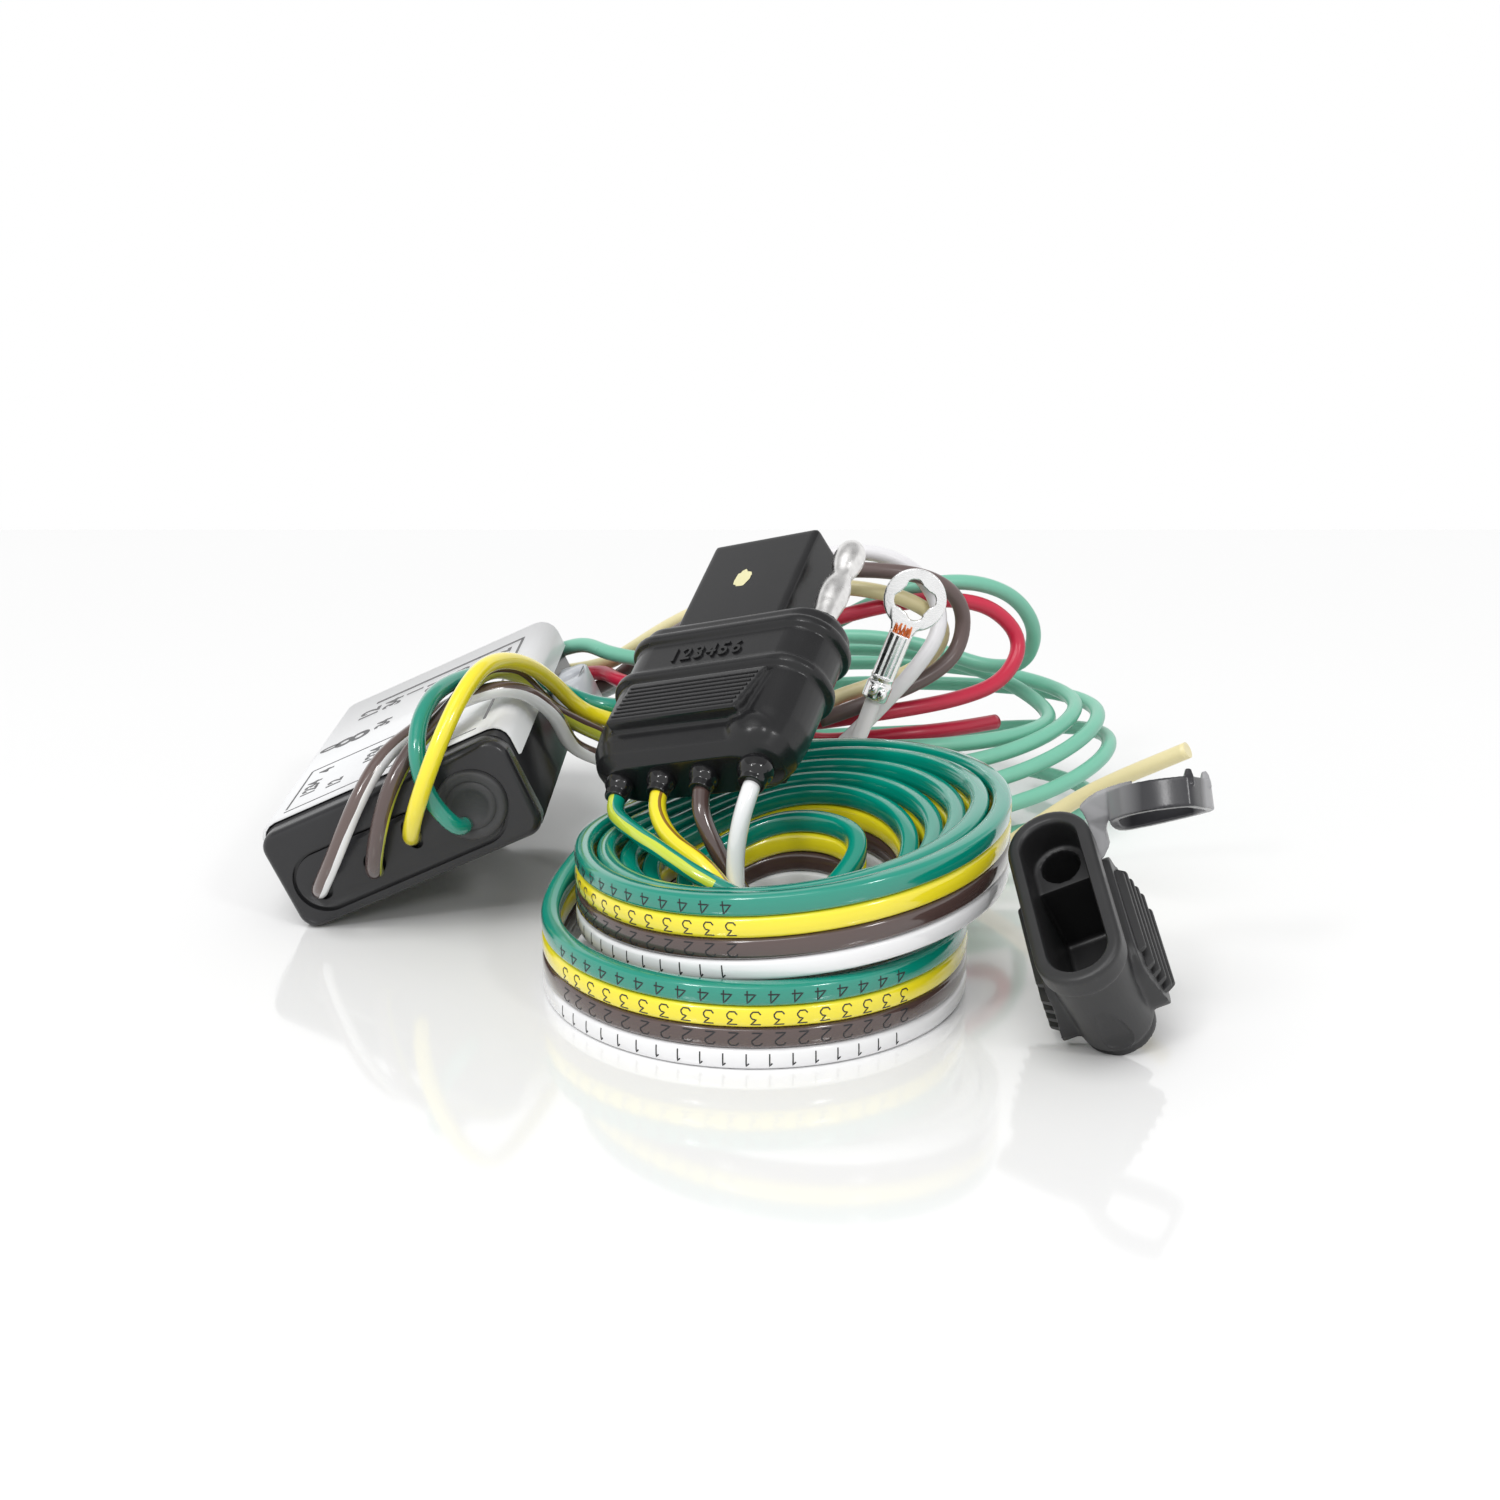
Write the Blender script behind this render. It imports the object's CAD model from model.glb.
"""Trailer wiring kit: a converter box with its coiled ribbon lead, flat plug, dust cap and rear wires."""
import math

import bmesh
import bpy
from mathutils import Matrix, Vector


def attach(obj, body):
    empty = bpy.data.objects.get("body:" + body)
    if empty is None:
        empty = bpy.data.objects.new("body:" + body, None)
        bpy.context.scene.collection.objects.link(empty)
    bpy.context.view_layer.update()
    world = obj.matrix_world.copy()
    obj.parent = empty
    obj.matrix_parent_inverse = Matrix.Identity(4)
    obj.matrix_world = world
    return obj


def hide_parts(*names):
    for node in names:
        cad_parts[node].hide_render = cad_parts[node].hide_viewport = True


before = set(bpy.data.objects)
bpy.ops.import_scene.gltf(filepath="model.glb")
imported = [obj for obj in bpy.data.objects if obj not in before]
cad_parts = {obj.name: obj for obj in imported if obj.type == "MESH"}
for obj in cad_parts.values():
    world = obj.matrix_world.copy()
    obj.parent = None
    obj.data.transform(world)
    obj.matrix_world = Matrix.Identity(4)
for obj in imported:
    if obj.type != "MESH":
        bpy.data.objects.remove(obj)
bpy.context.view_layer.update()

# ---------------------------------------------------------------- camera
# A 50 mm lens on a full-frame body, a hand's breadth above the surface and tilted down a little.
TILT = 17.5


def placed(name, data):
    """New object in the scene for a mesh, lamp or camera."""
    item = bpy.data.objects.new(name, data)
    bpy.context.scene.collection.objects.link(item)
    return item


camera_data = bpy.data.cameras.new("studio_camera")
camera_data.lens = 50.0
camera_data.sensor_width = 36.0
camera = placed("studio_camera", camera_data)
camera.location = (0.0057, -0.2822, 0.114)
camera.rotation_euler = (math.radians(90 - TILT), 0.0, 0.0)
bpy.context.scene.camera = camera

# ---------------------------------------------------------------- front ribbon lead
# Four wires of stranded copper in glossy extruded PVC leave the box one by one, close up into a bonded flat
# ribbon that lies as one open ring with six turns spiralling in above it, and are torn apart again before
# they enter the plug.
MM = 0.001
BODY = "harness"

# Routes are in layout millimetres, and LAYOUT_ORIGIN is the layout's point at the object's own origin. A
# section is a wire's half height and half width, and how square it is. A ring is its centre and half widths.
LAYOUT_ORIGIN = Vector((-5.7, 50.7, 0.0))
FREE_SECTION = (1.22 * MM, 1.22 * MM, 2.0)
BONDED_SECTION = (1.415 * MM, 1.29 * MM, 3.5)
TUBE_SIDES = 20
SAMPLE_STEP = 0.9
RIBBON_PITCH = 2.8
RIBBON_START = 0.03
RIBBON_END = 6.42
RIBBON_LIFT = 1.42
RIBBON_STEP = 2.92
LOWER_RING = (0.6, 28.0, 27.3, 27.3)
UPPER_RING = (4.9, 30.1, 29.6, 29.0)
LEADS = {
    "yellow": [
        (-47.4, 44.5, 14.3), (-47.5, 41.8, 14.4), (-45.8, 37.3, 20.2), (-43.1, 37.4, 27.6),
        (-40.4, 40.7, 33.8), (-37.7, 46.5, 37.7), (-35.0, 53.5, 37.5), (-31.8, 59.8, 34.9),
        (-28.7, 65.2, 30.5), (-24.9, 68.9, 25.2), (-17.9, 69.0, 23.0), (-12.6, 65.5, 19.0),
        (-8.7, 61.8, 13.7), (-3.9, 58.3, 9.0), (2.8, 55.8, 7.05), (5.4, 54.9, 7.05),
    ],
    "green": [
        (-39.8, 42.7, 16.6), (-40.0, 40.0, 16.3), (-44.4, 39.6, 22.0), (-45.9, 41.6, 29.2),
        (-44.8, 47.6, 33.2), (-42.4, 54.5, 34.0), (-38.5, 60.8, 33.6), (-33.8, 66.3, 32.9),
        (-29.4, 70.4, 28.7), (-23.4, 72.3, 25.4), (-16.9, 69.3, 25.7), (-11.8, 65.9, 22.1),
        (-7.5, 63.4, 16.6), (-3.2, 60.9, 11.1), (2.8, 55.9, 9.85), (5.4, 54.9, 9.85),
    ],
    "brown": [
        (-53.0, 44.7, 9.1), (-53.0, 42.0, 9.1), (-51.6, 39.7, 15.8), (-49.4, 40.8, 23.1),
        (-46.1, 44.7, 28.2), (-41.9, 49.8, 31.5), (-38.4, 55.8, 35.0), (-34.0, 61.1, 33.5),
        (-29.8, 64.5, 27.3), (-24.1, 66.8, 23.2), (-17.7, 67.8, 19.8), (-12.3, 66.0, 15.2),
        (-7.9, 62.8, 10.3), (-3.4, 59.2, 5.8), (2.8, 55.9, 4.25), (5.4, 54.9, 4.25),
    ],
    "white": [
        (-61.0, 45.0, 6.1), (-61.0, 42.3, 6.1), (-57.8, 39.8, 12.7), (-54.6, 40.5, 20.0),
        (-51.3, 44.3, 25.7), (-46.9, 50.0, 28.4), (-41.6, 54.5, 31.2), (-34.0, 57.5, 32.3),
        (-28.6, 61.4, 27.2), (-26.5, 65.3, 20.8), (-19.8, 66.8, 17.7), (-13.9, 64.1, 13.5),
        (-9.4, 61.3, 7.9), (-4.2, 58.6, 2.9), (2.8, 55.8, 1.45), (5.4, 54.9, 1.45),
    ],
}
TAILS = {
    "green": [
        (5.25, 19.5, 12.05), (3.8, 18.7, 11.0), (-1.7, 18.9, 15.1), (-7.4, 21.0, 17.7),
        (-12.1, 25.4, 19.4), (-16.2, 30.9, 20.4), (-19.0, 37.2, 20.5), (-18.2, 39.4, 21.8),
    ],
    "yellow": [
        (5.25, 19.5, 9.25), (3.8, 18.4, 8.1), (-1.2, 20.8, 12.2), (-5.4, 22.7, 17.6),
        (-10.3, 27.9, 19.5), (-13.1, 33.7, 22.2), (-12.3, 35.9, 23.7),
    ],
    "brown": [
        (5.25, 19.5, 6.45), (3.9, 18.6, 5.3), (0.7, 25.1, 10.4), (-3.8, 27.6, 17.1), (-7.3, 30.1, 24.0),
        (-6.4, 32.3, 25.5),
    ],
    "white": [
        (5.25, 19.5, 3.65), (3.8, 18.4, 2.5), (-0.9, 21.0, 6.4), (-1.8, 23.7, 12.9), (-1.9, 24.6, 19.8),
        (-0.5, 26.0, 26.2), (0.4, 28.1, 27.7),
    ],
}
RIBBON_ORDER = ("white", "brown", "yellow", "green")
RIBBON_COLOURS = {
    "white": (0.87, 0.87, 0.88), "brown": (0.078, 0.046, 0.041), "yellow": (0.93, 0.79, 0.02),
    "green": (0.0, 0.27, 0.19),
}
# Slivers of a neighbour's insulation: colour, place round the wire and half width, as shares of its girth.
LEAD_SLIVERS = {
    "white": ((0.11, 0.07, 0.062), 0.02, 0.14), "brown": ((0.5, 0.53, 0.06), 0.77, 0.11),
    "green": ((0.5, 0.6, 0.1), 0.5, 0.06),
}
TAIL_SLIVERS = {
    "green": ((0.62, 0.72, 0.05), 0.19, 0.085), "yellow": ((0.3, 0.16, 0.02), 0.02, 0.03),
    "brown": ((0.05, 0.03, 0.03), 0.3, 0.04),
}


def node(tree, kind, **settings):
    """Shader node with its settings and its unlinked inputs filled in."""
    made = tree.nodes.new(kind)
    for key, value in settings.items():
        if key in made.inputs:
            made.inputs[key].default_value = value
        else:
            setattr(made, key, value)
    return made


def group_tree(name, inputs, outputs):
    """Empty shader group with named sockets; returns the tree and its two end nodes."""
    tree = bpy.data.node_groups.new(name, "ShaderNodeTree")
    for label, kind, value in inputs:
        socket = tree.interface.new_socket(name=label, in_out="INPUT", socket_type="NodeSocket" + kind)
        socket.default_value = value
    for label, kind in outputs:
        tree.interface.new_socket(name=label, in_out="OUTPUT", socket_type="NodeSocket" + kind)
    return tree, tree.nodes.new("NodeGroupInput"), tree.nodes.new("NodeGroupOutput")


def reckon(tree, operation, *values):
    """Output of a Math node that is fed by sockets or by plain numbers."""
    made = node(tree, "ShaderNodeMath", operation=operation)
    for socket, value in zip(made.inputs, values):
        if isinstance(value, float):
            socket.default_value = value
        else:
            tree.links.new(value, socket)
    return made.outputs[0]


def new_material(name, base, roughness, metallic=0.0):
    """Material with a bare Principled shader; returns the material, its tree and the shader."""
    material = bpy.data.materials.new(name)
    material.use_nodes = True
    shader = material.node_tree.nodes["Principled BSDF"]
    shader.inputs["Base Color"].default_value = (*base, 1.0)
    shader.inputs["Roughness"].default_value = roughness
    shader.inputs["Metallic"].default_value = metallic
    return material, material.node_tree, shader


def surface_finish():
    """Uneven tone, gloss and fine relief of a moulded, extruded or plated surface, in object space."""
    tree, enter, leave = group_tree(
        "surface_finish",
        [("Color", "Color", (0.5, 0.5, 0.5, 1.0)), ("Tone", "Float", 0.05), ("Gloss", "Float", 0.3),
         ("Gloss spread", "Float", 0.06), ("Cloud scale", "Float", 220.0), ("Grain scale", "Float", 4000.0),
         ("Relief", "Float", 0.1)],
        [("Color", "Color"), ("Roughness", "Float"), ("Normal", "Vector")],
    )
    place = node(tree, "ShaderNodeTexCoord")
    cloud = node(tree, "ShaderNodeTexNoise", Detail=3.0)
    grain = node(tree, "ShaderNodeTexNoise", Detail=2.0)
    for noise, label in ((cloud, "Cloud scale"), (grain, "Grain scale")):
        tree.links.new(place.outputs["Object"], noise.inputs["Vector"])
        tree.links.new(enter.outputs[label], noise.inputs["Scale"])
    centred = reckon(tree, "SUBTRACT", cloud.outputs["Fac"], 0.5)
    toned = reckon(tree, "MULTIPLY_ADD", centred, enter.outputs["Tone"], 1.0)
    shade = node(tree, "ShaderNodeVectorMath", operation="SCALE")
    tree.links.new(enter.outputs["Color"], shade.inputs[0])
    tree.links.new(toned, shade.inputs["Scale"])
    tree.links.new(shade.outputs[0], leave.inputs["Color"])
    rough = reckon(tree, "MULTIPLY_ADD", centred, enter.outputs["Gloss spread"], enter.outputs["Gloss"])
    tree.links.new(rough, leave.inputs["Roughness"])
    relief = node(tree, "ShaderNodeBump", Distance=0.00004)
    tree.links.new(grain.outputs["Fac"], relief.inputs["Height"])
    tree.links.new(enter.outputs["Relief"], relief.inputs["Strength"])
    tree.links.new(relief.outputs["Normal"], leave.inputs["Normal"])
    return tree


FINISH = surface_finish()


def finished(name, base, metallic=0.0, **values):
    """Material whose tone, gloss and relief come from the shared finish group."""
    material, tree, shader = new_material(name, base, 0.4, metallic)
    finish = node(tree, "ShaderNodeGroup")
    finish.node_tree = FINISH
    finish.inputs["Color"].default_value = (*base, 1.0)
    for key, value in values.items():
        finish.inputs[key.replace("_", " ").capitalize()].default_value = value
    tree.links.new(finish.outputs["Color"], shader.inputs["Base Color"])
    tree.links.new(finish.outputs["Roughness"], shader.inputs["Roughness"])
    tree.links.new(finish.outputs["Normal"], shader.inputs["Normal"])
    return material


def overlay(material, mask, colour):
    """Lay a second colour over a material's base colour where a mask is 1."""
    tree = material.node_tree
    base = tree.nodes["Principled BSDF"].inputs["Base Color"]
    mix = node(tree, "ShaderNodeMix", data_type="RGBA")
    under, over = [socket for socket in mix.inputs if socket.type == "RGBA"]
    over.default_value = (*colour, 1.0)
    tree.links.new(mask, mix.inputs[0])
    tree.links.new(base.links[0].from_socket, under)
    tree.links.new([socket for socket in mix.outputs if socket.type == "RGBA"][0], base)


def torn_edge(material, colour, centre, half_width, start, end):
    """Sliver of the neighbour's insulation that stays on a wire where the ribbon is torn apart."""
    tree = material.node_tree
    uv = node(tree, "ShaderNodeUVMap")
    parts = node(tree, "ShaderNodeSeparateXYZ")
    tree.links.new(uv.outputs["UV"], parts.inputs[0])
    along = parts.outputs["X"]
    wave = node(tree, "ShaderNodeTexNoise", Scale=9.0, noise_dimensions="1D")
    tree.links.new(along, wave.inputs["W"])
    drift = reckon(tree, "MULTIPLY_ADD", wave.outputs["Fac"], 0.1, -centre - 0.05)
    aside = reckon(tree, "WRAP", reckon(tree, "ADD", parts.outputs["Y"], drift), 0.5, -0.5)
    near = reckon(tree, "LESS_THAN", reckon(tree, "ABSOLUTE", aside), half_width)
    torn = reckon(tree, "MULTIPLY", reckon(tree, "GREATER_THAN", along, start),
                  reckon(tree, "LESS_THAN", along, end))
    overlay(material, reckon(tree, "MULTIPLY", near, torn), colour)


def evenly(fine, step):
    """The same line with its points at one even spacing."""
    lengths = [0.0]
    for a, b in zip(fine[:-1], fine[1:]):
        lengths.append(lengths[-1] + (b - a).length)
    count = max(3, round(lengths[-1] / step))
    result = []
    spot = 0
    for k in range(count + 1):
        want = lengths[-1] * k / count
        while spot < len(lengths) - 2 and lengths[spot + 1] < want:
            spot += 1
        span = max(lengths[spot + 1] - lengths[spot], 1e-9)
        result.append(fine[spot].lerp(fine[spot + 1], min(1.0, max(0.0, (want - lengths[spot]) / span))))
    return result


def smooth_route(points):
    """Centripetal curve through the inner points, sampled evenly, with straight first and last pieces."""
    inner = [Vector(p) for p in points[1:-1]]
    padded = [2 * inner[0] - inner[1]] + inner + [2 * inner[-1] - inner[-2]]
    fine = [Vector(points[0])]
    for k in range(1, len(padded) - 2):
        p0, p1, p2, p3 = padded[k - 1:k + 3]
        t0 = 0.0
        t1 = t0 + max((p1 - p0).length, 1e-6) ** 0.5
        t2 = t1 + max((p2 - p1).length, 1e-6) ** 0.5
        t3 = t2 + max((p3 - p2).length, 1e-6) ** 0.5
        for i in range(24):
            t = t1 + (t2 - t1) * i / 24
            a1 = p0 * ((t1 - t) / (t1 - t0)) + p1 * ((t - t0) / (t1 - t0))
            a2 = p1 * ((t2 - t) / (t2 - t1)) + p2 * ((t - t1) / (t2 - t1))
            a3 = p2 * ((t3 - t) / (t3 - t2)) + p3 * ((t - t2) / (t3 - t2))
            b1 = a1 * ((t2 - t) / (t2 - t0)) + a2 * ((t - t0) / (t2 - t0))
            b2 = a2 * ((t3 - t) / (t3 - t1)) + a3 * ((t - t1) / (t3 - t1))
            fine.append(b1 * ((t2 - t) / (t2 - t1)) + b2 * ((t - t1) / (t2 - t1)))
    fine.append(Vector(points[-1]))
    return evenly(fine, SAMPLE_STEP)


def relaxed(points, passes):
    """Even out the small kinks where two stretches of a route meet."""
    line = [p.copy() for p in points]
    for _ in range(passes):
        inner = [(a + 2 * b + c) / 4 for a, b, c in zip(line[:-2], line[1:-1], line[2:])]
        line = [line[0]] + inner + [line[-1]]
    return line


def route_length(points):
    return sum((b - a).length for a, b in zip(points[:-1], points[1:]))


def on_bench(points):
    """Layout millimetres to metres in the object's own frame."""
    return [(Vector(p) - LAYOUT_ORIGIN) * MM for p in points]


def outline_point(angle, section):
    """Point of a wire's cross-section, squarer than a circle where it is bonded to its neighbours."""
    height, width, power = section
    c = math.cos(angle)
    s = math.sin(angle)
    return (height * math.copysign(abs(c) ** (2 / power), c), width * math.copysign(abs(s) ** (2 / power), s))


def frames_along(line, upright):
    """Upward direction at each point of a line: straight up over the upright stretch, untwisted beyond it."""
    tangents = []
    for k in range(len(line)):
        tangents.append((line[min(k + 1, len(line) - 1)] - line[max(k - 1, 0)]).normalized())
    first, last = upright
    ups = [None] * len(line)
    for k in range(first, last + 1):
        up = Vector((0, 0, 1))
        ups[k] = (up - tangents[k] * up.dot(tangents[k])).normalized()
    for k in range(first - 1, -1, -1):
        ups[k] = (ups[k + 1] - tangents[k] * ups[k + 1].dot(tangents[k])).normalized()
    for k in range(last + 1, len(line)):
        ups[k] = (ups[k - 1] - tangents[k] * ups[k - 1].dot(tangents[k])).normalized()
    return ups, tangents


def skin(mesh, rows, closed=False):
    """Side faces between rings of vertices, and end caps unless the last ring meets the first."""
    pairs = list(zip(rows[:-1], rows[1:]))
    if closed:
        pairs.append((rows[-1], rows[0]))
    sides = []
    for a, b in pairs:
        for i in range(len(a)):
            j = (i + 1) % len(a)
            sides.append(mesh.faces.new((a[i], a[j], b[j], b[i])))
    if not closed:
        mesh.faces.new(list(reversed(rows[0])))
        mesh.faces.new(rows[-1])
    return sides


def solid_from(name, mesh):
    """Object for a finished edit mesh, with its faces pointing outwards."""
    bmesh.ops.recalc_face_normals(mesh, faces=mesh.faces)
    data = bpy.data.meshes.new(name)
    mesh.to_mesh(data)
    mesh.free()
    return placed(name, data)


def sweep(name, line, sections, material, upright=(0, 0)):
    """Wire along a line in metres; its UV map runs along it and once round it from its top."""
    mesh = bmesh.new()
    uv = mesh.loops.layers.uv.new("UVMap")
    ups, tangents = frames_along(line, upright)
    rings = []
    run = 0.0
    runs = []
    for k, centre in enumerate(line):
        if k:
            run += (line[k] - line[k - 1]).length
        side = ups[k].cross(tangents[k])
        ring = []
        for i in range(TUBE_SIDES):
            rise, out = outline_point(2 * math.pi * i / TUBE_SIDES, sections[k])
            ring.append(mesh.verts.new(centre + ups[k] * rise + side * out))
        rings.append(ring)
        runs.append(run)
    for n, face in enumerate(skin(mesh, rings)):
        k, i = divmod(n, TUBE_SIDES)
        face.smooth = True
        spots = ((runs[k], i), (runs[k], i + 1), (runs[k + 1], i + 1), (runs[k + 1], i))
        for loop, (u, v) in zip(face.loops, spots):
            loop[uv].uv = (u * 10.0, v / TUBE_SIDES)
    item = solid_from(name, mesh)
    item.data.materials.append(material)
    return item


def wire(name, line, sections, material, nodes, upright=(0, 0)):
    """A declared free wire in place of its plain solids."""
    item = sweep(name, line, sections, material, upright)
    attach(item, BODY)
    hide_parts(*nodes)
    return item


def ease(value):
    """Smooth start and stop between 0 and 1."""
    value = min(1.0, max(0.0, value))
    return value * value * (3 - 2 * value)


def ribbon_point(turn, row):
    """One wire of the flat ribbon: a lower ring that climbs into six close turns spiralling inwards."""
    angle = 2 * math.pi * turn
    s = math.sin(angle)
    c = math.cos(angle)
    inward = max(0.0, turn - 0.88)
    climb = ease((turn - 0.70) / 0.28)
    widen = ease((turn - 0.72) / 0.15)
    centre_x, centre_y, wide, deep = [a + widen * (b - a) for a, b in zip(LOWER_RING, UPPER_RING)]
    # The turns lie close together, and the last one stands further in with a bulge to the right.
    shrink = RIBBON_STEP * inward + 3.2 * max(0.0, inward - 4.1) ** 2
    drift = ease((turn - 5.6) / 0.82)
    bulge = 3.4 * math.exp(-((turn - 6.15) / 0.11) ** 2)
    x = centre_x - 2.4 * drift + bulge + (wide - shrink) * s
    y = centre_y - 4.9 * drift + (deep - shrink) * c
    # The inner turns sag towards the front, and every upper turn dips at its right.
    sag = max(0.0, min(10.0, 3.0 * (turn - 2.3)))
    off = (turn * 360 - 138) % 360 - 180
    dip = 2.3 * math.exp(-(off / 38) ** 2) * ease((turn - 1.2) / 0.5)
    upper = 12.5 + 0.119 * (x - 4.7) + 0.023 * (y - 1.6) - sag * (1 - 0.75 * (c + 1) / 2) - dip
    z = RIBBON_LIFT + climb * (upper - RIBBON_LIFT)
    return Vector((x, y, z + RIBBON_PITCH * row))


ribbon_lines = {}
for row, colour in enumerate(RIBBON_ORDER):
    count = round((RIBBON_END - RIBBON_START) * 120)
    coil = []
    for k in range(count + 1):
        coil.append(ribbon_point(RIBBON_START + (RIBBON_END - RIBBON_START) * k / count, row))
    lead = smooth_route(LEADS[colour])
    tail = smooth_route(TAILS[colour])
    route = relaxed(evenly(lead + coil[1:] + tail[1:], SAMPLE_STEP), 12)
    lead_run = route_length(lead) * MM
    tail_run = (route_length(lead) + route_length(coil)) * MM
    line = on_bench(route)
    sections = []
    runs = []
    run = 0.0
    for k, point in enumerate(line):
        run += (point - line[k - 1]).length if k else 0.0
        runs.append(run)
        bonded = ease((run - lead_run + 0.012) / 0.012) * ease((tail_run + 0.004 - run) / 0.006)
        sections.append([a + (b - a) * bonded for a, b in zip(FREE_SECTION, BONDED_SECTION)])
    upright = [next(k for k, r in enumerate(runs) if r > edge) for edge in (lead_run, tail_run)]
    insulation = finished("insulation_" + colour, RIBBON_COLOURS[colour], tone=0.06, gloss=0.17,
                          gloss_spread=0.08, cloud_scale=140.0, relief=0.05)
    if colour in LEAD_SLIVERS:
        torn_edge(insulation, *LEAD_SLIVERS[colour], -1.0, (lead_run - 0.01) * 10.0)
    if colour in TAIL_SLIVERS:
        torn_edge(insulation, *TAIL_SLIVERS[colour], (tail_run + 0.004) * 10.0, 99.0)
    shader = insulation.node_tree.nodes["Principled BSDF"]
    shader.inputs["Coat Weight"].default_value = 1.0
    shader.inputs["Coat Roughness"].default_value = 0.08
    nodes = ("lead_" + colour, "coil_" + colour, "tail_" + colour)
    piece = wire("ribbon_wire_" + colour, line, sections, insulation, nodes,
                 upright=upright)
    turns = [0.0]
    for a, b in zip(coil[:-1], coil[1:]):
        turns.append(turns[-1] + (b - a).length * MM)
    ribbon_lines[colour] = (line, runs, lead_run, turns, count)

# ---------------------------------------------------------------- numbers on the ribbon
# Each wire of the ribbon carries its plain circuit number along its outer face, printed by a plotter in one
# thin black line. The ribbon was coiled after printing, so from the front the numbers stand upside down.
DIGIT_STROKES = {
    "1": [[(0.25, 0.75), (0.5, 1.0), (0.5, 0.0)]],
    "2": [[(0.05, 0.8), (0.25, 1.0), (0.75, 1.0), (0.95, 0.8), (0.95, 0.6), (0.05, 0.0), (0.95, 0.0)]],
    "3": [[(0.05, 1.0), (0.95, 1.0), (0.45, 0.6), (0.8, 0.55), (0.95, 0.35), (0.95, 0.2), (0.75, 0.0),
           (0.25, 0.0), (0.05, 0.2)]],
    "4": [[(0.75, 0.0), (0.75, 1.0), (0.0, 0.3), (1.0, 0.3)]],
}
DIGIT_HEIGHT = 1.65 * MM
DIGIT_WIDTH = 1.3 * MM
DIGIT_PITCH = 2.75 * MM
STROKE = 0.085 * MM
INK = 0.02 * MM
# The turn at which each row of numbers starts, and how many stand in it.
NUMBERED = ((0.375, 18), (1.52, 17), (2.55, 8))
NUMBERS = {"white": ("1", 1.1), "brown": ("2", 0.2), "yellow": ("3", 0.6), "green": ("4", 0.0)}


def wrapped(line, runs, along, up, radii):
    """Point and outward direction on a ribbon wire's outer face, at a run along it and a height."""
    k = 0
    while runs[k + 1] < along:
        k += 1
    share = (along - runs[k]) / (runs[k + 1] - runs[k])
    centre = line[k].lerp(line[k + 1], share)
    tangent = (line[k + 1] - line[k]).normalized()
    rise = (Vector((0, 0, 1)) - tangent * tangent.z).normalized()
    out = rise.cross(tangent).normalized()
    height, width, power = radii
    depth = width * max(0.0, 1 - abs(up / height) ** power) ** (1 / power)
    slope = (abs(up) / height) ** (power - 1) * math.copysign(1, up)
    return centre + rise * up + out * depth, (out + rise * slope).normalized()


def along_stroke(stroke):
    """Evenly spread points along a stroke of a numeral."""
    points = []
    for (x0, y0), (x1, y1) in zip(stroke[:-1], stroke[1:]):
        steps = max(2, round(math.hypot(x1 - x0, y1 - y0) * 5))
        points += [(x0 + (x1 - x0) * i / steps, y0 + (y1 - y0) * i / steps) for i in range(steps)]
    return points + [stroke[-1]]


def print_numbers(name, numeral, lefts, line, runs, radii, material):
    """One closed mesh of thin raised strokes for all of a wire's numbers."""
    mesh = bmesh.new()
    for left in lefts:
        for stroke in DIGIT_STROKES[numeral]:
            spots = []
            for x, y in along_stroke(stroke):
                spots.append(wrapped(line, runs, left + x * DIGIT_WIDTH, (0.5 - y) * DIGIT_HEIGHT, radii))
            rows = []
            for k, (spot, out) in enumerate(spots):
                ahead = spots[min(k + 1, len(spots) - 1)][0] - spots[max(k - 1, 0)][0]
                across = out.cross(ahead).normalized() * STROKE
                low = spot - out * INK
                high = spot + out * INK
                corners = (low - across, low + across, high + across, high - across)
                rows.append([mesh.verts.new(corner) for corner in corners])
            skin(mesh, rows)
    item = solid_from(name, mesh)
    item.data.materials.append(material)
    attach(item, BODY)


ink = finished("printing_ink", (0.012, 0.012, 0.015), tone=0.2, gloss=0.35, gloss_spread=0.1, relief=0.0)
for colour, (line, runs, start, turns, count) in ribbon_lines.items():
    numeral, shift = NUMBERS[colour]
    lefts = []
    for turn, number_count in NUMBERED:
        spot = round((turn - RIBBON_START) / (RIBBON_END - RIBBON_START) * count)
        lefts += [start + turns[spot] + shift * MM + n * DIGIT_PITCH for n in range(number_count)]
    print_numbers("numbers_" + colour, numeral, lefts, line, runs, BONDED_SECTION, ink)

# ---------------------------------------------------------------- rear wires
# The box's rear wires are loose single leads. The green one is thrown into an untied hank of five loops,
# the others are bent back over it; the white one ends in the ring terminal and the rest in bare cuts.
HANK_START = -0.12
HANK_END = 4.86
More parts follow.
